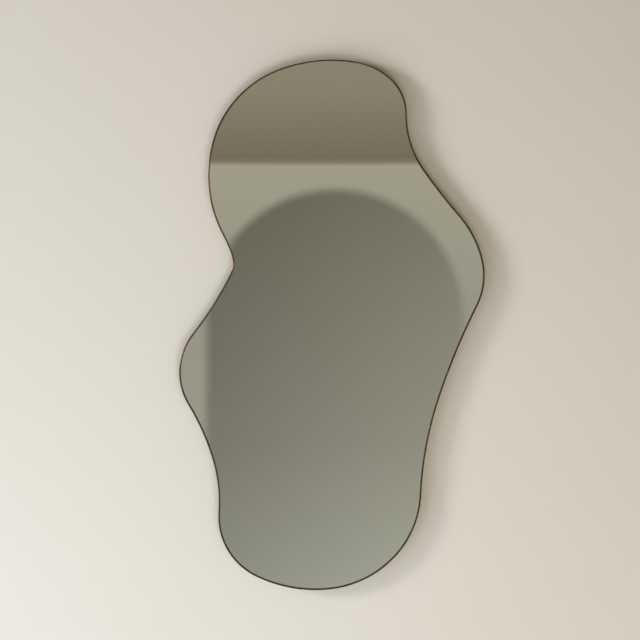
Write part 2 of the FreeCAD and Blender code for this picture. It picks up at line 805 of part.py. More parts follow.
# ---------------------------------------------------------------- D-ring hangers
# The strap lies on the board and is rolled round the ring's bar. Its own origin is the middle
# of the bar, the ring side is up and the board is on its -Y side.
def make_strap(name):
    body = new_body("hanger_strap_" + name)
    sketch = new_sketch(body, "Profile", None, "YZ_Plane")
    inner = knuckle_inner.number
    outer = knuckle_outer.number
    length = size["strap_length"].number
    centre = V(0, 0, 0)
    quarter = math.pi / 2
    geometry = [
        Part.LineSegment(V(-outer, -length, 0), V(-outer, 0, 0)),
        Part.ArcOfCircle(Part.Circle(centre, V(0, 0, 1), outer), -quarter, 2 * quarter),
        Part.LineSegment(V(0, -outer, 0), V(0, -inner, 0)),
        Part.ArcOfCircle(Part.Circle(centre, V(0, 0, 1), inner), -quarter, 2 * quarter),
        Part.LineSegment(V(-inner, 0, 0), V(-inner, -length, 0)),
        Part.LineSegment(V(-inner, -length, 0), V(-outer, -length, 0)),
    ]
    rear, roll, lip, bore, face, end = sketch.addGeometry(geometry, False)
    added = sketch.addConstraint([
        Sketcher.Constraint("Coincident", rear, 2, roll, 2),
        Sketcher.Constraint("Coincident", roll, 1, lip, 1),
        Sketcher.Constraint("Coincident", lip, 2, bore, 1),
        Sketcher.Constraint("Coincident", bore, 2, face, 1),
        Sketcher.Constraint("Coincident", face, 2, end, 1),
        Sketcher.Constraint("Coincident", end, 2, rear, 1),
        Sketcher.Constraint("Coincident", roll, 3, -1, 1),
        Sketcher.Constraint("Coincident", bore, 3, -1, 1),
        Sketcher.Constraint("PointOnObject", roll, 2, -1),
        Sketcher.Constraint("PointOnObject", bore, 2, -1),
        Sketcher.Constraint("PointOnObject", roll, 1, -2),
        Sketcher.Constraint("PointOnObject", bore, 1, -2),
        Sketcher.Constraint("Vertical", rear),
        Sketcher.Constraint("Vertical", face),
        Sketcher.Constraint("Horizontal", end),
        Sketcher.Constraint("Radius", bore, inner),
        Sketcher.Constraint("Radius", roll, outer),
        Sketcher.Constraint("DistanceY", rear, 1, -length),
    ])
    bind(sketch, "Constraints[%d]" % added[-3], knuckle_inner)
    bind(sketch, "Constraints[%d]" % added[-2], knuckle_outer)
    bind(sketch, "Constraints[%d]" % added[-1], -size["strap_length"])
    plate = add_pad(body, "Rolled", sketch, size["strap_width"])
    plate.SideType = "Symmetric"
    doc.recompute()
    corners = body.newObject("PartDesign::Fillet", body.Label + "_Corners")
    ends = []
    for number, edge in enumerate(plate.Shape.Edges, start=1):
        box = edge.BoundBox
        if box.ZMax < -length + TOUCH and box.XLength < TOUCH:
            ends.append("Edge%d" % number)
    corners.Base = (plate, ends)
    bind(corners, "Radius", size["strap_corner"])
    holes = new_sketch(body, "Holes", knuckle_inner)
    near = (0, -strap_screw_near.number)
    far = (0, -strap_screw_far.number)
    draw_circles(holes, [near, far], strap_bore)
    add_pocket(body, "Holes", holes, size["strap_thickness"])
    return body


# The ring: a round wire, straight where the strap holds it and bowed on the other side.
def make_ring(name):
    body = new_body("d_ring_" + name)
    spine = new_sketch(body, "Path")
    half = ring_half_width.number
    corner = size["ring_corner"].number
    straight = size["ring_straight"].number
    quarter = math.pi / 2
    up = V(0, 0, 1)
    geometry = [
        Part.LineSegment(V(0, 0, 0), V(half - corner, 0, 0)),
        Part.ArcOfCircle(Part.Circle(V(half - corner, corner, 0), up, corner), -quarter, 0),
        Part.LineSegment(V(half, corner, 0), V(half, straight, 0)),
        Part.ArcOfCircle(Part.Circle(V(0, straight, 0), up, half), 0, 2 * quarter),
        Part.LineSegment(V(-half, straight, 0), V(-half, corner, 0)),
        Part.ArcOfCircle(Part.Circle(V(corner - half, corner, 0), up, corner), 2 * quarter,
                         3 * quarter),
        Part.LineSegment(V(corner - half, 0, 0), V(0, 0, 0)),
    ]
    bar, turn, side, bow, other_side, other_turn, other_bar = spine.addGeometry(geometry, False)
    added = spine.addConstraint([
        Sketcher.Constraint("Coincident", bar, 1, -1, 1),
        Sketcher.Constraint("Coincident", other_bar, 2, bar, 1),
        Sketcher.Constraint("Horizontal", bar),
        Sketcher.Constraint("Horizontal", other_bar),
        Sketcher.Constraint("Tangent", bar, 2, turn, 1),
        Sketcher.Constraint("Tangent", turn, 2, side, 1),
        Sketcher.Constraint("Tangent", side, 2, bow, 1),
        Sketcher.Constraint("Tangent", bow, 2, other_side, 1),
        Sketcher.Constraint("Tangent", other_side, 2, other_turn, 1),
        Sketcher.Constraint("Tangent", other_turn, 2, other_bar, 1),
        Sketcher.Constraint("Vertical", side),
        Sketcher.Constraint("PointOnObject", bow, 3, -2),
        Sketcher.Constraint("Equal", turn, other_turn),
        Sketcher.Constraint("Radius", turn, corner),
        Sketcher.Constraint("Radius", bow, half),
        Sketcher.Constraint("DistanceY", bow, 3, straight),
    ])
    bind(spine, "Constraints[%d]" % added[-3], size["ring_corner"])
    bind(spine, "Constraints[%d]" % added[-2], ring_half_width)
    bind(spine, "Constraints[%d]" % added[-1], size["ring_straight"])
    section = new_sketch(body, "Wire", None, "YZ_Plane")
    draw_circles(section, [(0, 0)], size["ring_wire"])
    pipe = body.newObject("PartDesign::AdditivePipe", body.Label + "_Bow")
    pipe.Profile = section
    pipe.Spine = (spine, [])
    spine.Visibility = False
    section.Visibility = False
    return body


def place_hanger_piece(piece, across, up, turn, lean):
    turned = FreeCAD.Rotation(V(0, 1, 0), turn.number)
    leaning = FreeCAD.Rotation(V(1, 0, 0), lean.number)
    piece.Placement = FreeCAD.Placement(V(0, 0, 0), turned.multiply(leaning))
    bind(piece, "Placement.Base.x", across)
    bind(piece, "Placement.Base.y", knuckle_outer - board_rear)
    bind(piece, "Placement.Base.z", up)


def make_hangers():
    screw_places = strap_screw_places()
    for number, (name, across, up, turn) in enumerate(hanger_list()):
        x, z = hanger_origin(across, up, turn)
        place_hanger_piece(make_strap(name), x, z, turn, zero)
        place_hanger_piece(make_ring(name), x, z, turn, ring_lean)
        own = screw_places[2 * number:2 * number + 2]
        screw_group("hanger_screws_" + name, own, strap_seat, screw_tip,
                    size["strap_screw_diameter"])


# ---------------------------------------------------------------- bumpers
def new_primitive(kind, label, place):
    item = doc.addObject(kind, label)
    item.Placement = FreeCAD.Placement(V(place[0], 0, place[1]), FreeCAD.Rotation(V(1, 0, 0), -90))
    return item


# A rubber bumper from the board to the wall, bored for its screw and washer.
def make_bumper(name, place):
    label = "wall_bumper_" + name
    rubber = new_primitive("Part::Cone", label + "_Rubber", place)
    bind(rubber, "Radius1", size["bumper_diameter"] / 2)
    bind(rubber, "Radius2", size["bumper_tip_diameter"] / 2)
    bind(rubber, "Height", board_rear)
    bore = new_primitive("Part::Cylinder", label + "_Bore", place)
    bind(bore, "Radius", size["bumper_screw_diameter"] / 2 + size["bumper_bore_play"])
    bind(bore, "Height", board_rear)
    recess = new_primitive("Part::Cylinder", label + "_Recess", place)
    bind(recess, "Radius", bumper_recess / 2)
    bind(recess, "Height", size["bumper_recess_depth"])
    for item in (rubber, bore):
        bind(item, "Placement.Base.y", -board_rear)
    bind(recess, "Placement.Base.y", -size["bumper_recess_depth"])
    holes = doc.addObject("Part::Fuse", label + "_Holes")
    holes.Base = bore
    holes.Tool = recess
    bumper = doc.addObject("Part::Cut", label)
    bumper.Label = label
    bumper.Base = rubber
    bumper.Tool = holes
    nodes.append(bumper)


def make_bumpers():
    places = bumper_places()
    seat = size["bumper_recess_depth"].number
    height = size["washer_thickness"].number
    rear = V(0, 1, 0)
    washers = []
    for name, place in zip(BUMPER_STATIONS, places):
        make_bumper(name, place)
        origin = V(place[0], -seat, place[1])
        disc = Part.makeCylinder(washer_diameter.number / 2, height, origin, rear)
        hole = Part.makeCylinder(washer_bore.number / 2, height, origin, rear)
        washers.append(disc.cut(hole))
    new_group("bumper_washers", washers)
    screw_group("bumper_screws", places, bumper_screw_seat, screw_tip,
                size["bumper_screw_diameter"])


# ---------------------------------------------------------------- build, check, write
def check_document():
    for item in doc.Objects:
        if "Invalid" in item.State or "Error" in item.State:
            raise ValueError(item.Label + " failed: " + ", ".join(item.State))
    for node in nodes:
        if node.Shape.isNull() or not node.Shape.isValid() or not node.Shape.Solids:
            raise ValueError(node.Label + " has no sound shape")


def main():
    make_frame_band()
    make_splice_plate()
    make_glass()
    make_layers()
    make_backing_board()
    make_tape()
    make_adhesive_beads()
    screw_group("flange_screws", flange_screw_places(), flange_rear, screw_tip,
                size["flange_screw_diameter"])
    make_hangers()
    make_bumpers()
    doc.recompute()
    check_document()
    os.makedirs("parts", exist_ok=True)
    for node in nodes:
        node.Shape.exportStep("parts/" + node.Label + ".step")
    print("%d nodes written" % len(nodes))


main()
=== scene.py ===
import bmesh
import bpy
import math
from mathutils import Matrix, Vector
from mathutils.geometry import tessellate_polygon


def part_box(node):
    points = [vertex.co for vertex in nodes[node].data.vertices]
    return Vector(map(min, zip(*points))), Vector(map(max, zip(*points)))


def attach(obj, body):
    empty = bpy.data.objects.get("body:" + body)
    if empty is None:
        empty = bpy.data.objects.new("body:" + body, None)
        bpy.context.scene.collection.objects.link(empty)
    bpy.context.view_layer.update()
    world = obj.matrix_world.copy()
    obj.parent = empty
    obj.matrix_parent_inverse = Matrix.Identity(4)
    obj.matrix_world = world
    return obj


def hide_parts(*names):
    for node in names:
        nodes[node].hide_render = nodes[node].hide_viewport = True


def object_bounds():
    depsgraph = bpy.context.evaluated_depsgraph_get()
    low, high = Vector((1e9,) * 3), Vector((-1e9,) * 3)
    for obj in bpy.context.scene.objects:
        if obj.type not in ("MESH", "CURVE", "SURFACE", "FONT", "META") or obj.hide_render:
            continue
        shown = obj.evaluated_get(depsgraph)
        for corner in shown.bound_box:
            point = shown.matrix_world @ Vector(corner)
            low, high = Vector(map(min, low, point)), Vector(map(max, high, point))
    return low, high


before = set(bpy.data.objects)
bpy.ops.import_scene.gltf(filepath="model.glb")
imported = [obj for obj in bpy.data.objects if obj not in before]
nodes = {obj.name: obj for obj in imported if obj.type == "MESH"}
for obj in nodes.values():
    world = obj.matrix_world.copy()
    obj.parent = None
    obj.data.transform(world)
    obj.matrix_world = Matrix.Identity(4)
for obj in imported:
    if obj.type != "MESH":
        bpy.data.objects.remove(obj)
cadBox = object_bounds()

# Wall mirror with a free outline: metal band, glass, mirror layer, board, hangers and bumpers.
# Lengths in the dictionaries are millimetres, apart from those of the stage and the lamps,
# which are metres like everything in the scene.
mm = 0.001
scene = bpy.context.scene

# the outline on the band's outer face, clockwise from the front: across, up, and how many
# degrees it leans to the left there from the line between its two neighbours
outline = {
    "crown": (53.5, 130.0, 9.5),
    "temple": (138.0, 41.0, -34.0),
    "shoulder": (229.0, -132.0, 20.5),
    "bulge": (258.0, -285.0, -18.5),
    "footRight": (162.5, -606.0, 25.0),
    "footLeft": (5.0, -767.0, 0.5),
    "heel": (-182.5, -635.5, -41.0),
    "belly": (-234.0, -452.5, 34.0),
    "waist": (-163.0, -232.0, -15.5),
    "headLeft": (-176.0, -162.5, 41.5),
    "brow": (-76.5, 118.5, -32.5),
}
outlineStep = 2.5  # between the points of every path along the outline
roundingSteps = 5  # in every rounded corner of a profile
weldDistance = 0.001 * mm


class Graph:
    # one way to add nodes, for materials and for geometry
    def __init__(self, tree):
        self.tree = tree

    def node(self, kind, settings=None, inputs=None, output=0):
        made = self.tree.nodes.new(kind)
        for name, value in (settings or {}).items():
            if name == "stops":
                self.setStops(made.color_ramp, value)
            else:
                setattr(made, name, value)
        for key, value in (inputs or {}).items():
            if isinstance(value, Value):
                self.tree.links.new(value.socket, made.inputs[key])
            else:
                made.inputs[key].default_value = value
        return Value(self, made.outputs[output]) if made.outputs else None

    def setStops(self, ramp, stops):
        while len(ramp.elements) < len(stops):
            ramp.elements.new(1.0)
        for element, (position, tone) in zip(ramp.elements, stops):
            element.position = position
            element.color = (*tone, 1.0)

    def spread(self, value, low, high, least=0.0, most=1.0):
        return self.node("ShaderNodeMapRange", {"interpolation_type": "SMOOTHSTEP"}, {
            "Value": value, "From Min": low, "From Max": high, "To Min": least, "To Max": most})

    def blend(self, share, first, second):
        return self.node("ShaderNodeMix", {"data_type": "RGBA"}, {
            "Factor": share, 6: colour(first), 7: colour(second)}, 2)


class Value:
    # a socket with the arithmetic of shader maths
    def __init__(self, graph, socket):
        self.graph = graph
        self.socket = socket

    def beside(self, output):
        # another output of the same node
        return Value(self.graph, self.socket.node.outputs[output])

    def maths(self, operation, other=0.0, swapped=False):
        first, second = (other, self) if swapped else (self, other)
        return self.graph.node("ShaderNodeMath", {"operation": operation}, {0: first, 1: second})

    def __add__(self, other):
        return self.maths("ADD", other)

    def __sub__(self, other):
        return self.maths("SUBTRACT", other)

    def __rsub__(self, other):
        return self.maths("SUBTRACT", other, True)

    def __mul__(self, other):
        return self.maths("MULTIPLY", other)

    def __abs__(self):
        return self.maths("ABSOLUTE")

    def power(self, other):
        return self.maths("POWER", other)

    def most(self, other):
        return self.maths("MAXIMUM", other)

    __radd__ = __add__
    __rmul__ = __mul__


class Finish(Graph):
    # a material being made, with the few patterns that the finishes share
    def __init__(self, name):
        self.material = bpy.data.materials.new(name)
        self.material.use_nodes = True
        super().__init__(self.material.node_tree)
        self.tree.nodes.clear()
        self.place = self.node("ShaderNodeTexCoord", output="Object")

    def stretched(self, vector, scale, turn=(0, 0, 0)):
        return self.node("ShaderNodeMapping", {}, {
            "Vector": vector, "Scale": scale, "Rotation": turn})

    def noise(self, vector, scale, detail=3.0, roughness=0.55):
        return self.node("ShaderNodeTexNoise", {}, {
            "Vector": vector, "Scale": scale, "Detail": detail, "Roughness": roughness})

    def bump(self, height, strength, depth):
        return self.node("ShaderNodeBump", {}, {
            "Height": height, "Strength": strength, "Distance": depth})

    def surface(self, **inputs):
        sockets = {key.replace("_", " "): value for key, value in inputs.items()}
        return self.node("ShaderNodeBsdfPrincipled", {}, sockets)

    def done(self, shader):
        self.node("ShaderNodeOutputMaterial", {}, {"Surface": shader})
        return self.material


def colour(value):
    # a colour written as three sRGB numbers of 0 to 255
    if isinstance(value, Value):
        return value
    return (*[linear(part / 255) for part in value], 1.0)


def linear(part):
    return part / 12.92 if part <= 0.04045 else ((part + 0.055) / 1.055) ** 2.4


def metres(lengths):
    return [length * mm for length in lengths]


class OutlineArc:
    # one arc of the outline, moved in by the inset; a bend to the right has a positive radius
    def __init__(self, first, second, inset):
        half = math.remainder(first[2] - second[2], 2 * math.pi) / 2
        chord = math.dist(first[:2], second[:2])
        outer = chord / (2 * math.sin(half))
        self.steps = math.ceil(outer * 2 * half / outlineStep)  # the same for every inset
        self.heading = first[2]
        self.radius = outer - inset
        self.length = self.radius * 2 * half
        self.across = first[0] + math.sin(self.heading) * inset
        self.up = first[1] - math.cos(self.heading) * inset

    def at(self, along):
        later = self.heading - along / self.radius
        across = self.across + self.radius * (math.sin(self.heading) - math.sin(later))
        up = self.up + self.radius * (math.cos(later) - math.cos(self.heading))
        return across, up


def outlineJunctions():
    stations = list(outline.values())
    headed = []
    for index, (across, up, lean) in enumerate(stations):
        before = stations[index - 1]
        after = stations[(index + 1) % len(stations)]
        chord = math.atan2(after[1] - before[1], after[0] - before[0])
        headed.append((across, up, chord + math.radians(lean)))
    junctions = []
    for index, first in enumerate(headed):
        second = headed[(index + 1) % len(headed)]
        across = second[0] - first[0]
        up = second[1] - first[1]
        chord = math.atan2(up, across)
        bendIn = math.remainder(first[2] - chord, 2 * math.pi)
        bendOut = math.remainder(chord - second[2], 2 * math.pi)
        rise = math.tan((bendIn + bendOut) / 4) / 2
        middle = (first[0] + across / 2 - up * rise, first[1] + up / 2 + across * rise)
        junctions += [first, (*middle, chord + (bendOut - bendIn) / 2)]
    return junctions


def outlinePath(inset, gap=None):
    # points along the inset outline; with a gap they run from the joint at the foot round to it
    junctions = outlineJunctions()
    arcs = [OutlineArc(junctions[index - 1], junctions[index], inset)
            for index in range(len(junctions))]
    jointArc = 2 * list(outline).index("footRight") + 2
    arcs = arcs[jointArc:] + arcs[:jointArc]
    spans = [(arc, 0.0, arc.length) for arc in arcs]
    if gap is not None:
        split = arcs[0].length / 2
        spans[0] = (arcs[0], split + gap / 2, arcs[0].length)
        spans.append((arcs[0], 0.0, split - gap / 2))
    points = []
    for arc, start, end in spans:
        count = math.ceil(arc.steps * (end - start) / arc.length - 0.01)
        points += [arc.at(start + (end - start) * number / count) for number in range(count)]
    if gap is not None:
        points.append(arcs[0].at(split - gap / 2))
    return points


def circlePath(centre, radius, count):
    # clockwise from the front, so that its inside is on the right as on the outline
    turns = [-2 * math.pi * number / count for number in range(count)]
    return [(centre[0] + radius * math.cos(turn), centre[1] + radius * math.sin(turn))
            for turn in turns]


def curveObject(name, points, closed):
    # a curve of straight runs; the third number of a point is the radius of its rounding
    curve = bpy.data.curves.new(name, "CURVE")
    curve.dimensions = "3D"
    spline = curve.splines.new("POLY")
    spline.points.add(len(points) - 1)
    for made, point in zip(spline.points, points):
        made.co = (point[0] * mm, point[1] * mm, 0.0, 1.0)
        made.radius = point[2] * mm if len(point) > 2 else 1.0
    spline.use_cyclic_u = closed
    made = bpy.data.objects.new(name, curve)
    scene.collection.objects.link(made)
    return made


def newTree(name, sockets):
    tree = bpy.data.node_groups.new(name, "GeometryNodeTree")
    for socket, kind in sockets.items():
        tree.interface.new_socket(name=socket, in_out="INPUT", socket_type=kind)
    tree.interface.new_socket(name="Geometry", in_out="OUTPUT", socket_type="NodeSocketGeometry")
    graph = Graph(tree)
    entry = tree.nodes.new("NodeGroupInput")
    return graph, {socket: Value(graph, entry.outputs[socket]) for socket in sockets}


def endTree(graph, geometry, material):
    whole = graph.node("GeometryNodeRealizeInstances", {}, {"Geometry": geometry})
    whole = graph.node("GeometryNodeSetMaterial", {}, {"Geometry": whole, "Material": material})
    graph.node("NodeGroupOutput", {}, {"Geometry": whole})
    return graph.tree


def makeSweepTree():
    # carries a profile along a path; the profile is drawn as inset and depth, and the two
    # lengths along path and profile are kept for the finishes that follow the surface
    graph, given = newTree("Sweep", {
        "Geometry": "NodeSocketGeometry", "Path": "NodeSocketObject", "Profile": "NodeSocketObject",
        "Rounding Steps": "NodeSocketInt", "Weld Distance": "NodeSocketFloat",
        "Material": "NodeSocketMaterial"})
    path = graph.node("GeometryNodeObjectInfo", {}, {"Object": given["Path"]}, "Geometry")
    path = graph.node("GeometryNodeSetCurveNormal", {"mode": "Z_UP"}, {"Curve": path})
    path = graph.node("GeometryNodeStoreNamedAttribute", {"data_type": "FLOAT"}, {
        "Geometry": path, "Name": "along",
        "Value": graph.node("GeometryNodeSplineParameter", output="Length")})
    profile = graph.node("GeometryNodeObjectInfo", {}, {"Object": given["Profile"]}, "Geometry")
    profile = graph.node("GeometryNodeFilletCurve", {"mode": "POLY"}, {
        "Curve": profile, "Count": given["Rounding Steps"], "Limit Radius": True,
        "Radius": graph.node("GeometryNodeInputRadius")})
    profile = graph.node("GeometryNodeStoreNamedAttribute", {"data_type": "FLOAT"}, {
        "Geometry": profile, "Name": "around",
        "Value": graph.node("GeometryNodeSplineParameter", output="Length")})
    swept = graph.node("GeometryNodeCurveToMesh", {}, {
        "Curve": path, "Profile Curve": profile, "Fill Caps": True})
    swept = graph.node("GeometryNodeMergeByDistance", {}, {
        "Geometry": swept, "Distance": given["Weld Distance"]})
    swept = graph.node("GeometryNodeTransform", {}, {
        "Geometry": swept, "Rotation": (math.pi / 2, 0.0, 0.0)})
    return endTree(graph, swept, given["Material"])


def makeScatterTree():
    # stands one form on every point, each turned about its own depth axis
    graph, given = newTree("Scatter", {
        "Geometry": "NodeSocketGeometry", "Form": "NodeSocketObject", "Seed": "NodeSocketInt",
        "Material": "NodeSocketMaterial"})
    form = graph.node("GeometryNodeObjectInfo", {}, {"Object": given["Form"]}, "Geometry")
    turn = graph.node("FunctionNodeRandomValue", {"data_type": "FLOAT"}, {
        2: 0.0, 3: 2 * math.pi, "Seed": given["Seed"]}, 1)
    turned = graph.node("ShaderNodeCombineXYZ", {}, {"Y": turn})
    stood = graph.node("GeometryNodeInstanceOnPoints", {}, {
        "Points": given["Geometry"], "Instance": form,
        "Rotation": graph.node("FunctionNodeEulerToRotation", {}, {"Euler": turned})})
    return endTree(graph, stood, given["Material"])


def runTree(tree, name, base, values, smoothAngle=35.0):
    # runs a tree on a base mesh and keeps only the plain result
    carrier = bpy.data.objects.new(name + "Base", base)
    scene.collection.objects.link(carrier)
    modifier = carrier.modifiers.new("tree", "NODES")
    modifier.node_group = tree
    for item in tree.interface.items_tree:
        if item.in_out == "INPUT" and item.name in values:
            modifier[item.identifier] = values[item.name]
    bpy.context.view_layer.update()
    evaluated = carrier.evaluated_get(bpy.context.evaluated_depsgraph_get())
    mesh = bpy.data.meshes.new_from_object(evaluated)
    carrier.modifiers.clear()
    bpy.data.objects.remove(carrier)
    return meshObject(name, mesh, smoothAngle)


def meshObject(name, mesh, smoothAngle):
    form = bmesh.new()
    form.from_mesh(mesh)
    bmesh.ops.recalc_face_normals(form, faces=form.faces)
    form.to_mesh(mesh)
    form.free()
    mesh.shade_smooth()
    mesh.set_sharp_from_angle(angle=math.radians(smoothAngle))
    mesh.name = name
    made = bpy.data.objects.new(name, mesh)
    scene.collection.objects.link(made)
    return made


def sweep(name, points, closed, profile, material):
    path = curveObject(name + "Path", points, closed)
    section = curveObject(name + "Profile", profile, True)
    made = runTree(sweepTree, name, bpy.data.meshes.new(name), {
        "Path": path, "Profile": section, "Rounding Steps": roundingSteps,
        "Weld Distance": weldDistance, "Material": material})
    for used in (path, section):
        bpy.data.objects.remove(used)
    return made


def stand(piece, body, slot, *replaced):
    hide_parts(*replaced)
    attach(piece, body)


def islandBoxes(name):
    # the box of each loose solid in a CAD node, found on a welded copy of its mesh
    form = bmesh.new()
    form.from_mesh(nodes[name].data)
    bmesh.ops.remove_doubles(form, verts=form.verts, dist=weldDistance)
    unseen = set(form.verts)
    boxes = []
    while unseen:
        group = [unseen.pop()]
        for vertex in group:
            for edge in vertex.link_edges:
                other = edge.other_vert(vertex)
                if other in unseen:
                    unseen.remove(other)
                    group.append(other)
        low = Vector([min(vertex.co[axis] for vertex in group) for axis in range(3)])
        high = Vector([max(vertex.co[axis] for vertex in group) for axis in range(3)])
        boxes.append((low, high))
    form.free()
    return sorted(boxes, key=lambda box: (round(box[0].z, 4), round(box[0].x, 4)))


sweepTree = makeSweepTree()
scatterTree = makeScatterTree()

# ---- band
band = {
    "wall": 2.0, "rear": 1.0, "flangeRear": 6.5, "flangeFront": 8.0, "flangeInset": 10.0,
    "front": 23.0, "lipRounding": 1.35, "lipInner": 0.35, "bendRounding": 0.25, "joint": 0.2,
    "metal": (88, 65, 36), "patina": (52, 38, 23), "polished": (222, 184, 120),
    # shade is the colour of the painted shade in the shadowed recess behind the lip
    "shade": (34, 26, 17), "roughness": (0.2, 0.42), "patinaScale": 9.0,
    # marks to the metre, along the band and across it
    "brush": (60.0, 5200.0), "longBrush": (8.0, 900.0),
    # lengths round the band from the lip's outer edge: the rubbed line lies before it and fades
    # out on both sides; the painted shade of the recess behind the lip comes up and ends after it
    "rubbedBefore": 0.5, "rubbedFade": (0.2, 1.3), "shadeStart": (0.8, 1.3),
    "shadeEnd": (23.0, 25.0),
}


def bandFinish():
    finish = Finish("antiqueBrass")
    along = finish.node("ShaderNodeAttribute", {"attribute_name": "along"}, output="Fac")
    around = finish.node("ShaderNodeAttribute", {"attribute_name": "around"}, output="Fac")
    surface = finish.node("ShaderNodeCombineXYZ", {}, {"X": along, "Y": around})
    streaks = finish.noise(finish.stretched(surface, (*band["brush"], 1.0)), 1.0, 2.0)
    longStreaks = finish.noise(finish.stretched(surface, (*band["longBrush"], 1.0)), 1.0)
    clouds = finish.noise(finish.place, band["patinaScale"], 4.0, 0.6)
    inward = around - (band["front"] - band["rear"]) * mm
    rubbed = abs(inward + band["rubbedBefore"] * mm)
    rubbed = finish.spread(rubbed, *metres(band["rubbedFade"]), 1.0, 0.0)
    rubbed = rubbed * finish.spread(clouds, 0.35, 0.7, 0.5, 1.0)
    # painted shade: darkest from the lip's inner half to the flange, where the recess behind the
    # lip lies in shadow
    paintedShadeShare = finish.spread(inward, *metres(band["shadeStart"]))
    paintedShadeShare = paintedShadeShare * finish.spread(inward, *metres(band["shadeEnd"]), 1.0, 0.0)
    dulled = finish.spread(clouds * 0.7 + longStreaks * 0.3, 0.38, 0.62)
    base = finish.blend(dulled, band["metal"], band["patina"])
    base = finish.blend(rubbed, base, band["polished"])
    base = finish.blend(streaks * 0.25, base, band["patina"])
    # lay the painted shade of the recess over the metal
    base = finish.blend(paintedShadeShare * 0.8, base, band["shade"])
    low, high = band["roughness"]
    rough = streaks * (high - low) * 0.6 + dulled * (high - low) * 0.4 + low
    relief = finish.bump(streaks + longStreaks * 0.5, 0.12, 0.02 * mm)
    return finish.done(finish.surface(
        Base_Color=base, Metallic=1.0, Roughness=rough - rubbed * 0.08, Normal=relief))


def makeBand():
    # inset, depth and rounding of each corner
    wall, inner, bend = band["wall"], band["flangeInset"], band["bendRounding"]
    rear, front = -band["rear"], -band["front"]
    back, board = -band["flangeRear"], -band["flangeFront"]
    profile = [
        (0.0, rear, bend), (0.0, front, band["lipRounding"]),
        (wall, front, band["lipInner"]), (wall, board, bend),
        (inner, board, bend), (inner, back, bend),
        (wall, back, bend), (wall, rear, bend)]
    piece = sweep("frameBand", outlinePath(0.0, band["joint"]), False, profile, bandFinish())
    stand(piece, "mirror", "frame_metal", "frame_band")


makeBand()
print("band done")

# ---- glass and mirror layer
glass = {
    "inset": 2.5, "rear": 18.25, "front": 22.25, "arris": 0.35, "smoothAngle": 20.0,
    "tint": (250, 252, 250), "tintCloud": (247, 251, 249),
    "silverInset": 3.0, "silverRear": 18.15, "silverFront": 18.27,
    "silver": (236, 234, 228), "silverCloud": (231, 230, 224), "silverBack": (120, 116, 106),
}


def plateMesh(name, inset, rear, front, arris):
    # a flat plate with a ground bevel on both edges; without an arris the edges are square
    levels = [(arris, rear), (0.0, rear + arris), (0.0, front - arris), (arris, front)]
    if not arris:
        levels = [(0.0, rear), (0.0, front)]
    form = bmesh.new()
    rings = []
    for extra, depth in levels:
        rings.append([form.verts.new((x * mm, -depth * mm, z * mm))
                      for x, z in outlinePath(inset + extra)])
    for near, far in zip(rings, rings[1:]):
        for number in range(len(near)):
            form.faces.new((near[number - 1], near[number], far[number], far[number - 1]))
    form.faces.new(rings[0])
    form.faces.new(rings[-1])
    mesh = bpy.data.meshes.new(name)
    form.to_mesh(mesh)
    form.free()
    return mesh


def glassFinish():
    finish = Finish("floatGlass")
    wiped = finish.stretched(finish.place, (9.0, 9.0, 3.0), (0.0, 0.5, 0.0))
    smears = finish.noise(wiped, 1.0, 4.0, 0.6)
    rough = finish.spread(smears, 0.52, 0.75, 0.0, 0.012)
    tint = finish.blend(finish.noise(finish.place, 3.0), glass["tint"], glass["tintCloud"])
    return finish.done(finish.surface(
        Base_Color=tint, Roughness=rough, IOR=1.52, Transmission_Weight=1.0))


def silverFinish():
    finish = Finish("mirrorSilver")
    clouds = finish.noise(finish.place, 5.0, 3.0)
    base = finish.blend(clouds, glass["silver"], glass["silverCloud"])
    backside = finish.node("ShaderNodeSeparateXYZ", {}, {
        "Vector": finish.node("ShaderNodeNewGeometry", output="Normal")}, "Y")
    painted = finish.spread(backside, 0.2, 0.8)
    return finish.done(finish.surface(
        Base_Color=finish.blend(painted, base, glass["silverBack"]), Metallic=1.0 - painted,
        Roughness=painted * 0.5 + finish.spread(clouds, 0.5, 0.8, 0.0, 0.008)))


def makeGlass():
    mesh = plateMesh("mirrorGlass", glass["inset"], glass["rear"], glass["front"], glass["arris"])
    mesh.materials.append(glassFinish())
    made = meshObject("mirrorGlass", mesh, glass["smoothAngle"])
    stand(made, "mirror", "clear_glass", "mirror_glass")
    mesh = plateMesh("mirrorSilvering", glass["silverInset"], glass["silverRear"],
                     glass["silverFront"], 0.0)
    mesh.materials.append(silverFinish())
    made = meshObject("mirrorSilvering", mesh, glass["smoothAngle"])
    stand(made, "mirror", "mirror_layer", "mirror_silvering")


makeGlass()
print("glass done")

# ---- what the plated pieces share, and how a piece that keeps its CAD shape gets its material
plating = {
    "zinc": (190, 191, 190), "zincDull": (150, 150, 147), "nickel": (222, 216, 204),
    "nickelDull": (182, 174, 160), "gilt": (198, 176, 128), "giltDull": (156, 142, 118),
}


def platedFinish(name, bright, dull, roughness, spots, drawn):
    # plated steel: cloudy plating, drawing marks in one direction and a few rubbed spots
    finish = Finish(name)
    clouds = finish.noise(finish.place, spots, 4.0, 0.6)
    marks = finish.noise(finish.stretched(finish.place, drawn), 1.0, 3.0, 0.6)
    rubbed = finish.spread(finish.noise(finish.place, spots * 2.7, 3.0), 0.6, 0.72)
    base = finish.blend(finish.spread(clouds, 0.35, 0.65), plating[bright], plating[dull])
    base = finish.blend(marks * 0.3, base, plating[dull])
    low, high = roughness
    rough = marks * (high - low) + low + rubbed * 0.08
    return finish.done(finish.surface(
        Base_Color=base, Metallic=1.0, Roughness=rough,
        Normal=finish.bump(marks * 0.7 + clouds * 0.3, 0.25, 0.03 * mm)))


def dressNode(name, material):
    mesh = nodes[name].data
    mesh.materials.clear()
    mesh.materials.append(material)


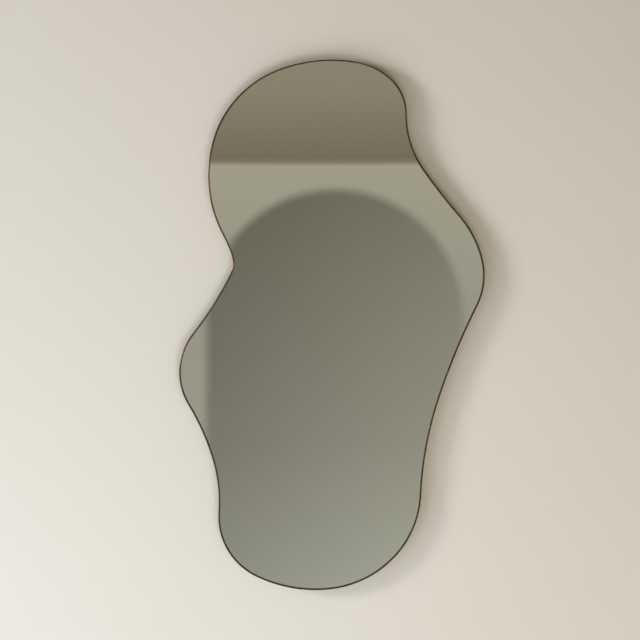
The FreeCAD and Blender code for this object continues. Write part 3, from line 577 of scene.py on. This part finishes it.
# ---- screws
screw = {
    # shares of the thread's diameter
    "headWidthRatio": 1.9, "headHeightRatio": 0.65,
    # shares of the thread's radius: the tip's width and height, and where the thread begins
    "tipWidth": 0.3, "tipHeight": 0.4, "threadStart": 1.2,
    "pitch": 1.1, "threadDepth": 0.3, "neck": 0.3,
    # the rim's share of the head's height, its bevel, and how full the dome above it is
    "rimShare": 0.35, "rimCut": (0.1, 0.12), "domePower": 0.7, "domeSteps": 7,
    # the recess in shares of the head's width and height, and how much is left at its foot
    "crossLength": 0.62, "crossWidth": 0.17, "crossDepth": 0.62, "crossNarrows": (0.55, 0.7),
    "cutterAbove": 0.2, "aroundSteps": 32, "smoothAngle": 30.0, "seed": 11,
}


def latheMesh(name, profile, steps):
    # turns a profile of (radius, depth) about the depth axis; its ends lie on the axis
    form = bmesh.new()
    rings = []
    for radius, depth in profile:
        if radius == 0:
            rings.append([form.verts.new((0.0, depth * mm, 0.0))] * steps)
            continue
        turns = [2 * math.pi * number / steps for number in range(steps)]
        rings.append([form.verts.new((radius * math.cos(turn) * mm, depth * mm,
                                      radius * math.sin(turn) * mm)) for turn in turns])
    for near, far in zip(rings, rings[1:]):
        for number in range(steps):
            corners = [near[number - 1], near[number], far[number], far[number - 1]]
            form.faces.new(list(dict.fromkeys(corners)))
    mesh = bpy.data.meshes.new(name)
    form.to_mesh(mesh)
    form.free()
    return mesh


def screwProfile(diameter, length):
    radius = diameter / 2
    rim = radius * screw["headWidthRatio"]
    height = diameter * screw["headHeightRatio"]
    profile = [
        (0.0, -length), (radius * screw["tipWidth"], -length + radius * screw["tipHeight"])]
    depth = -length + radius * screw["threadStart"]
    root = radius - screw["threadDepth"]
    while depth < -screw["pitch"]:
        profile += [(root, depth), (radius, depth + screw["pitch"] / 2)]
        depth += screw["pitch"]
    cutIn, cutUp = screw["rimCut"]
    profile += [(root, -screw["neck"]), (radius, 0.0), (rim - cutIn, 0.0), (rim, cutUp)]
    domeFoot = height * screw["rimShare"]
    profile.append((rim, domeFoot))
    for number in range(1, screw["domeSteps"]):
        turn = math.pi / 2 * number / screw["domeSteps"]
        width = rim * math.cos(turn) ** screw["domePower"]
        profile.append((width, domeFoot + (height - domeFoot) * math.sin(turn)))
    return profile + [(0.0, height)]


def crossCutter(rim, height):
    # two tapered bars that leave the cross recess
    lengthShare, widthShare = screw["crossNarrows"]
    form = bmesh.new()
    for turn in (0.0, math.pi / 2):
        cube = bmesh.ops.create_cube(form, size=1.0)["verts"]
        for vertex in cube:
            deep = vertex.co.y < 0
            vertex.co.x *= rim * 2 * screw["crossLength"] * (lengthShare if deep else 1.0)
            vertex.co.z *= rim * 2 * screw["crossWidth"] * (widthShare if deep else 1.0)
            foot = height * (1 - screw["crossDepth"])
            vertex.co.y = foot if deep else height + screw["cutterAbove"]
        bmesh.ops.rotate(form, verts=cube, matrix=Matrix.Rotation(turn, 3, "Y"))
    bmesh.ops.scale(form, vec=(mm, mm, mm), verts=form.verts)
    mesh = bpy.data.meshes.new("crossCutter")
    form.to_mesh(mesh)
    form.free()
    return bpy.data.objects.new("crossCutter", mesh)


def screwForm(diameter, length):
    mesh = latheMesh("screwForm", screwProfile(diameter, length), screw["aroundSteps"])
    made = meshObject("screwForm", mesh, screw["smoothAngle"])
    rim, height = diameter / 2 * screw["headWidthRatio"], diameter * screw["headHeightRatio"]
    cutter = crossCutter(rim, height)
    scene.collection.objects.link(cutter)
    recess = made.modifiers.new("recess", "BOOLEAN")
    recess.operation = "DIFFERENCE"
    recess.solver = "EXACT"
    recess.use_self = True
    recess.object = cutter
    bpy.context.view_layer.update()
    evaluated = made.evaluated_get(bpy.context.evaluated_depsgraph_get())
    cut = bpy.data.meshes.new_from_object(evaluated)
    made.modifiers.clear()
    made.data = cut
    bpy.data.objects.remove(cutter)
    return made


def makeScrews(piece, node, seed, material):
    # every screw of a CAD node, on the points where its solids stand
    boxes = islandBoxes(node)
    low, high = boxes[0]
    diameter = (high.x - low.x) / screw["headWidthRatio"] / mm
    seat = high.y - diameter * screw["headHeightRatio"] * mm
    form = screwForm(diameter, (seat - low.y) / mm)
    points = bpy.data.meshes.new(piece + "Points")
    middles = [((near.x + far.x) / 2, seat, (near.z + far.z) / 2) for near, far in boxes]
    points.from_pydata(middles, [], [])
    made = runTree(scatterTree, piece, points, {
        "Form": form, "Seed": seed, "Material": material}, screw["smoothAngle"])
    bpy.data.objects.remove(form)
    stand(made, "mirror", "screw_steel", node)


screwMetal = platedFinish(
    "giltZinc", "gilt", "giltDull", (0.24, 0.42), 420.0, (900.0, 900.0, 900.0))
makeScrews("flangeScrews", "flange_screws", screw["seed"], screwMetal)
makeScrews("spliceScrews", "splice_screws", screw["seed"] + 1, screwMetal)
makeScrews("bumperScrews", "bumper_screws", screw["seed"] + 2, screwMetal)
hangerNames = ["upper_left", "upper_right", "side_upper", "side_lower"]
for number, name in enumerate(hangerNames):
    seed = screw["seed"] + 3 + number
    makeScrews("hangerScrews_" + name, "hanger_screws_" + name, seed, screwMetal)
print("screws done")

# ---- hangers, splice plate and washers keep their CAD shape
zincPlate = platedFinish(
    "zincPlate", "zinc", "zincDull", (0.3, 0.48), 160.0, (120.0, 2600.0, 2600.0))
zincStamped = platedFinish(
    "zincStamped", "zinc", "zincDull", (0.32, 0.5), 240.0, (1800.0, 1800.0, 150.0))
nickelWire = platedFinish(
    "nickelWire", "nickel", "nickelDull", (0.14, 0.3), 300.0, (1400.0, 1400.0, 700.0))
for name in hangerNames:
    dressNode("hanger_strap_" + name, zincStamped)
    dressNode("d_ring_" + name, nickelWire)
dressNode("splice_plate", zincPlate)
dressNode("bumper_washers", zincStamped)
print("hangers done")

# ---- rubber bumpers
bumper = {
    "rounding": 0.9, "edge": 0.35, "boreRadius": 2.1, "recessRadius": 4.8, "recessDepth": 4.0,
    "footTaper": 0.15, "footHeight": 1.6, "taper": 1.0, "aroundSteps": 72,
    "rubber": (40, 39, 37), "dusty": (66, 64, 60),
}


def rubberFinish():
    finish = Finish("mouldedRubber")
    grain = finish.noise(finish.place, 2600.0, 3.0, 0.6)
    dust = finish.noise(finish.place, 140.0, 4.0, 0.6)
    base = finish.blend(finish.spread(dust, 0.45, 0.7), bumper["rubber"], bumper["dusty"])
    return finish.done(finish.surface(
        Base_Color=base, Roughness=finish.spread(dust, 0.3, 0.7, 0.62, 0.86),
        Normal=finish.bump(grain, 0.5, 0.06 * mm)))


def makeBumpers():
    rubber = rubberFinish()
    for name in [node[len("wall_bumper_"):] for node in nodes if node.startswith("wall_bumper_")]:
        low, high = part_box("wall_bumper_" + name)
        middle = (low + high) / 2 / mm
        radius = (high.x - low.x) / 2 / mm
        base = low.y / mm
        bore = radius - bumper["boreRadius"]
        recess = radius - bumper["recessRadius"]
        floor = -bumper["recessDepth"]
        edge, rounding = bumper["edge"], bumper["rounding"]
        profile = [
            (0.0, base, edge), (bumper["footTaper"], base + bumper["footHeight"], edge),
            (bumper["taper"], 0.0, rounding), (recess, 0.0, rounding),
            (recess, floor, edge), (bore, floor, edge), (bore, base, edge)]
        path = circlePath((middle.x, middle.z), radius, bumper["aroundSteps"])
        piece = sweep("wallBumper_" + name, path, True, profile, rubber)
        stand(piece, "mirror", "bumper_rubber", "wall_bumper_" + name)


makeBumpers()
print("bumpers done")

# ---- board, film, tape and adhesive keep their CAD shape
layers = {
    "board": (166, 134, 94), "boardDark": (128, 98, 64), "fibre": (192, 164, 124),
    # painted shade: a dark coat on the board from this depth forward, seen through the glass's
    # clear margin as the shadowed gap inside the band
    "gapShade": (34, 31, 28), "gapShadeDepth": (-14.5, -13.5),
    "film": (176, 186, 190), "filmThread": (206, 212, 212), "filmPitch": 2.4,
    "tape": (228, 226, 220), "tapeCell": (206, 204, 198), "adhesive": (204, 201, 192),
    "adhesiveDark": (182, 178, 168),
}


def boardFinish():
    finish = Finish("fibreBoard")
    clouds = finish.noise(finish.place, 14.0, 4.0, 0.6)
    lying = finish.stretched(finish.place, (700.0, 700.0, 170.0), (0.0, 0.6, 0.0))
    fibres = finish.noise(lying, 1.0, 4.0, 0.7)
    across = finish.stretched(finish.place, (180.0, 700.0, 720.0), (0.0, 0.4, 0.0))
    crossed = finish.noise(across, 1.0, 4.0, 0.7)
    base = finish.blend(finish.spread(clouds, 0.3, 0.7) * 0.2, layers["board"], layers["boardDark"])
    base = finish.blend(finish.spread(fibres, 0.52, 0.72) * 0.7, base, layers["fibre"])
    base = finish.blend(finish.spread(crossed, 0.55, 0.75) * 0.6, base, layers["boardDark"])
    depth = finish.node("ShaderNodeSeparateXYZ", {}, {"Vector": finish.place}, "Y")
    # painted shade on the board's front, where it shows through the clear margin of the glass
    gapShadeShare = finish.spread(depth, *metres(layers["gapShadeDepth"]), 1.0, 0.0)
    base = finish.blend(gapShadeShare, base, layers["gapShade"])
    return finish.done(finish.surface(
        Base_Color=base, Roughness=finish.spread(clouds, 0.3, 0.7, 0.72, 0.88),
        Normal=finish.bump(fibres + crossed, 0.35, 0.12 * mm)))


def filmFinish():
    finish = Finish("wovenFilm")
    across = finish.node("ShaderNodeSeparateXYZ", {}, {"Vector": finish.place})
    height = across.beside("Z")
    turns = 2 * math.pi / (layers["filmPitch"] * mm)
    weft = abs((across * turns).maths("SINE"))
    warp = abs((height * turns).maths("SINE"))
    threads = weft.most(warp)
    base = finish.blend(finish.spread(threads, 0.75, 0.98), layers["film"], layers["filmThread"])
    return finish.done(finish.surface(
        Base_Color=base, Roughness=0.34 + finish.noise(finish.place, 30.0) * 0.2,
        Normal=finish.bump(threads, 0.4, 0.08 * mm)))


def foamFinish():
    finish = Finish("foamTape")
    cells = finish.node("ShaderNodeTexVoronoi", {}, {"Vector": finish.place, "Scale": 1600.0})
    clouds = finish.noise(finish.place, 25.0)
    base = finish.blend(finish.spread(cells, 0.1, 0.6), layers["tapeCell"], layers["tape"])
    return finish.done(finish.surface(
        Base_Color=base, Roughness=0.75 + clouds * 0.2, Normal=finish.bump(cells, 0.5, 0.1 * mm)))


def adhesiveFinish():
    finish = Finish("mirrorAdhesive")
    smears = finish.noise(finish.stretched(finish.place, (60.0, 60.0, 14.0)), 1.0, 4.0, 0.6)
    smeared = finish.spread(smears, 0.35, 0.65)
    base = finish.blend(smeared, layers["adhesive"], layers["adhesiveDark"])
    return finish.done(finish.surface(
        Base_Color=base, Roughness=0.3 + smears * 0.25, Normal=finish.bump(smears, 0.5, 0.3 * mm)))


dressNode("backing_board", boardFinish())
dressNode("safety_film", filmFinish())
foamTape = foamFinish()
for name in nodes:
    if name.startswith("mounting_tape_"):
        dressNode(name, foamTape)
dressNode("adhesive_beads", adhesiveFinish())
print("layers done")

# ---- stage: wall, floor, what metal and mirror see, lamps, camera
stage = {
    "wallColour": (240, 238, 232), "wallCloud": (236, 233, 226), "wallHalf": (3.2, 1.9),
    "wallBehind": 0.0002, "hideInset": 1.5,  # the wall has a hole behind the mirror, inset in mm
    "floorColour": (232, 228, 220), "floorCloud": (218, 213, 202), "floorBelow": 1.3,
    "floorReach": 9.0, "floorGlow": 0.75, "backdrop": (238, 235, 228),
    # what metal and mirror see, by the height of the direction looked in
    "seen": [
        (-0.3, (206, 204, 194)), (-0.16, (176, 176, 166)), (0.0, (168, 166, 154)),
        (0.0875, (179, 174, 157)), (0.0895, (129, 120, 101)), (0.13, (150, 145, 127)),
        (0.3, (170, 164, 146))],
    # the same inside the soft round-topped shade in the middle
    "seenShade": [
        (-0.3, (206, 204, 194)), (-0.16, (176, 176, 166)), (-0.07, (150, 148, 137)),
        (0.07, (124, 120, 106))],
    "seenReach": 0.3, "shadeMiddle": (0.0085, 0.0011), "shadeRadius": 0.0725,
    "shadeEdge": 0.004, "shadeTilt": 2.8,
    # tones to the sides, far to the sides and behind, and how far a direction leans there
    "sideLean": (0.14, 0.5), "sideShare": 0.7,
    "sideLeft": (178, 173, 160), "sideRight": (128, 122, 108),
    "farLean": (0.7, 0.95), "farLeft": (255, 250, 236), "farRight": (60, 55, 47),
    "farAbove": (236, 230, 214), "farBelow": (112, 107, 96),
    "behindLean": (-0.2, 0.5), "behind": (222, 216, 204),
    # the even light from all round
    "around": (246, 235, 214), "ambient": 0.19,
}


def makeWall():
    finish = Finish("wallPaint")
    shadow = finish.node("ShaderNodeLightPath", output="Is Shadow Ray")
    behind = finish.node("ShaderNodeNewGeometry", output="Backfacing")
    # it hides nothing from behind and keeps no light off the mirror's back
    clear = behind.most(shadow).most(shadow.beside("Is Diffuse Ray"))
    clouds = finish.noise(finish.place, 1.6, 3.0)
    base = finish.blend(clouds, stage["wallColour"], stage["wallCloud"])
    plaster = finish.bump(finish.noise(finish.place, 60.0, 4.0), 0.04, 1.0 * mm)
    painted = finish.surface(Base_Color=base, Roughness=0.9, Normal=plaster)
    through = finish.node("ShaderNodeBsdfTransparent")
    mixed = finish.node("ShaderNodeMixShader", {}, {0: clear, 1: painted, 2: through})
    half, above = stage["wallHalf"]
    top = (cadBox[0].z + cadBox[1].z) / 2 + above
    bottom = cadBox[0].z - stage["floorBelow"]
    outer = [(-half, bottom), (half, bottom), (half, top), (-half, top)]
    hole = [metres(point) for point in outlinePath(stage["hideInset"])]
    corners = [Vector((x, stage["wallBehind"], z)) for x, z in outer + hole]
    triangles = tessellate_polygon([corners[:4], corners[4:]])
    mesh = bpy.data.meshes.new("wall")
    mesh.from_pydata([tuple(corner) for corner in corners], [], triangles)
    mesh.materials.append(finish.done(mixed))
    wall = bpy.data.objects.new("wall", mesh)
    scene.collection.objects.link(wall)
    mesh.update()
    if mesh.polygons[0].normal.y > 0:
        mesh.flip_normals()


def makeFloor():
    finish = Finish("floorPaint")
    clouds = finish.noise(finish.place, 1.2)
    base = finish.blend(clouds, stage["floorColour"], stage["floorCloud"])
    painted = finish.surface(Base_Color=base, Roughness=0.85)
    pale = finish.node("ShaderNodeEmission", {}, {"Color": base})
    looking = finish.node("ShaderNodeLightPath", output="Is Camera Ray")
    mixed = finish.node("ShaderNodeMixShader", {}, {
        0: looking * stage["floorGlow"], 1: painted, 2: pale})
    reach = stage["floorReach"]
    level = cadBox[0].z - stage["floorBelow"]
    corners = [(x * reach, y * reach, level) for x, y in ((-1, -1), (1, -1), (1, 1), (-1, 1))]
    mesh = bpy.data.meshes.new("floor")
    mesh.from_pydata(corners, [], [(0, 1, 2, 3)])
    mesh.materials.append(finish.done(mixed))
    floor = bpy.data.objects.new("floor", mesh)
    floor.visible_glossy = floor.visible_transmission = False  # the mirror sees the studio alone
    scene.collection.objects.link(floor)


def heightTones(graph, height, name):
    reach = stage["seenReach"]
    level = graph.node("ShaderNodeMapRange", {}, {
        "Value": height, "From Min": -reach, "From Max": reach})
    stops = [((up + reach) / 2 / reach, colour(tone)[:3]) for up, tone in stage[name]]
    return graph.node("ShaderNodeValToRGB", {"stops": stops}, {"Fac": level})


def leaningTones(graph, seen, across, height):
    # the farther a direction leans to a side, up or down, the more it takes that side's tone
    side, far, share = stage["sideLean"], stage["farLean"], stage["sideShare"]
    for value, way, lean, most, tone in (
            (across, 1, side, share, "sideRight"), (across, -1, side, share, "sideLeft"),
            (across, 1, far, 1.0, "farRight"), (across, -1, far, 1.0, "farLeft"),
            (height, 1, far, 1.0, "farAbove"), (height, -1, far, 1.0, "farBelow")):
        leaning = graph.node("ShaderNodeMapRange", {}, {
            "Value": value, "From Min": way * lean[0], "From Max": way * lean[1],
            "To Max": most})
        seen = graph.blend(leaning, seen, stage[tone])
    return seen


def makeSurroundings():
    # pale where the camera looks; metal and glass see a soft, darker studio in front of the wall
    world = bpy.data.worlds.new("studio")
    world.use_nodes = True
    world.node_tree.nodes.clear()
    scene.world = world
    graph = Graph(world.node_tree)
    across = graph.node("ShaderNodeSeparateXYZ", {}, {
        "Vector": graph.node("ShaderNodeTexCoord", output="Generated")})
    back, height = across.beside("Y"), across.beside("Z")
    aside = across - stage["shadeMiddle"][0]
    above = (height - stage["shadeMiddle"][1]).most(0.0)
    outward = (aside * aside + above * above).power(0.5)
    radius, edge = stage["shadeRadius"], stage["shadeEdge"]
    inShade = graph.spread(outward, radius - edge, radius + edge, 1.0, 0.0)
    tilt = 1.0 + inShade * aside * stage["shadeTilt"]  # lighter towards the right
    seen = graph.blend(
        inShade, heightTones(graph, height, "seen"), heightTones(graph, height, "seenShade"))
    seen = leaningTones(graph, seen, across, height)
    seen = graph.blend(graph.spread(back, *stage["behindLean"]), seen, stage["behind"])
    glossy = graph.node("ShaderNodeLightPath", output="Is Glossy Ray")
    reflected = glossy.most(glossy.beside("Is Transmission Ray"))
    looking = glossy.beside("Is Camera Ray")
    mixed = graph.blend(reflected, stage["around"], seen)
    mixed = graph.blend(looking, mixed, stage["backdrop"])
    strength = (reflected * tilt).most(looking).most(stage["ambient"])
    background = graph.node("ShaderNodeBackground", {}, {"Color": mixed, "Strength": strength})
    graph.node("ShaderNodeOutputWorld", {}, {"Surface": background})


# place, target, size, power, colour, and whether metal and mirror show it
lamps = {
    "key": ((-4.05, -1.9, 0.4), (0.0, 0.0, -0.4), 1.4, 90.0, (255, 253, 243), True),
    "fill": ((0.37, -2.4, -1.2), (0.0, 0.0, -0.4), 1.4, 19.0, (255, 247, 224), False),
    "bounce": ((-1.35, -1.15, -1.6), (-0.2, 0.0, -0.5), 1.8, 20.5, (210, 224, 255), False),
    "rearLeft": ((-1.6, 2.4, 0.9), (0.0, 0.0, -0.3), 1.6, 36.0, (255, 250, 242), False),
    "rearRight": ((1.8, 2.2, 0.4), (0.0, 0.0, -0.3), 1.6, 20.0, (255, 250, 242), False),
}


def addLamp(name, place, target, size, power, tint, reflected):
    data = bpy.data.lights.new(name, "AREA")
    data.shape = "DISK"
    data.size = size
    data.energy = power
    data.color = colour(tint)[:3]
    lamp = bpy.data.objects.new(name, data)
    lamp.location = place
    aim = Vector(target) - Vector(place)
    lamp.rotation_euler = aim.to_track_quat("-Z", "Y").to_euler()
    lamp.visible_glossy = lamp.visible_transmission = reflected
    lamp.visible_camera = False
    scene.collection.objects.link(lamp)


camera = {"x": -9.7, "z": -309.0, "across": 1086.7, "distance": 3000.0, "sensor": 36.0}


def makeCamera():
    # "across" is how much it shows at the band's front
    data = bpy.data.cameras.new("camera")
    data.sensor_width = camera["sensor"]
    data.lens = camera["sensor"] * camera["distance"] / camera["across"]
    made = bpy.data.objects.new("camera", data)
    made.location = metres((camera["x"], -camera["distance"] - band["front"], camera["z"]))
    made.rotation_euler = (math.pi / 2, 0.0, 0.0)
    scene.collection.objects.link(made)
    scene.camera = made


makeWall()
makeFloor()
makeSurroundings()
for name, values in lamps.items():
    addLamp(name, *values)
makeCamera()
scene.view_settings.view_transform = "Standard"
print("stage done")
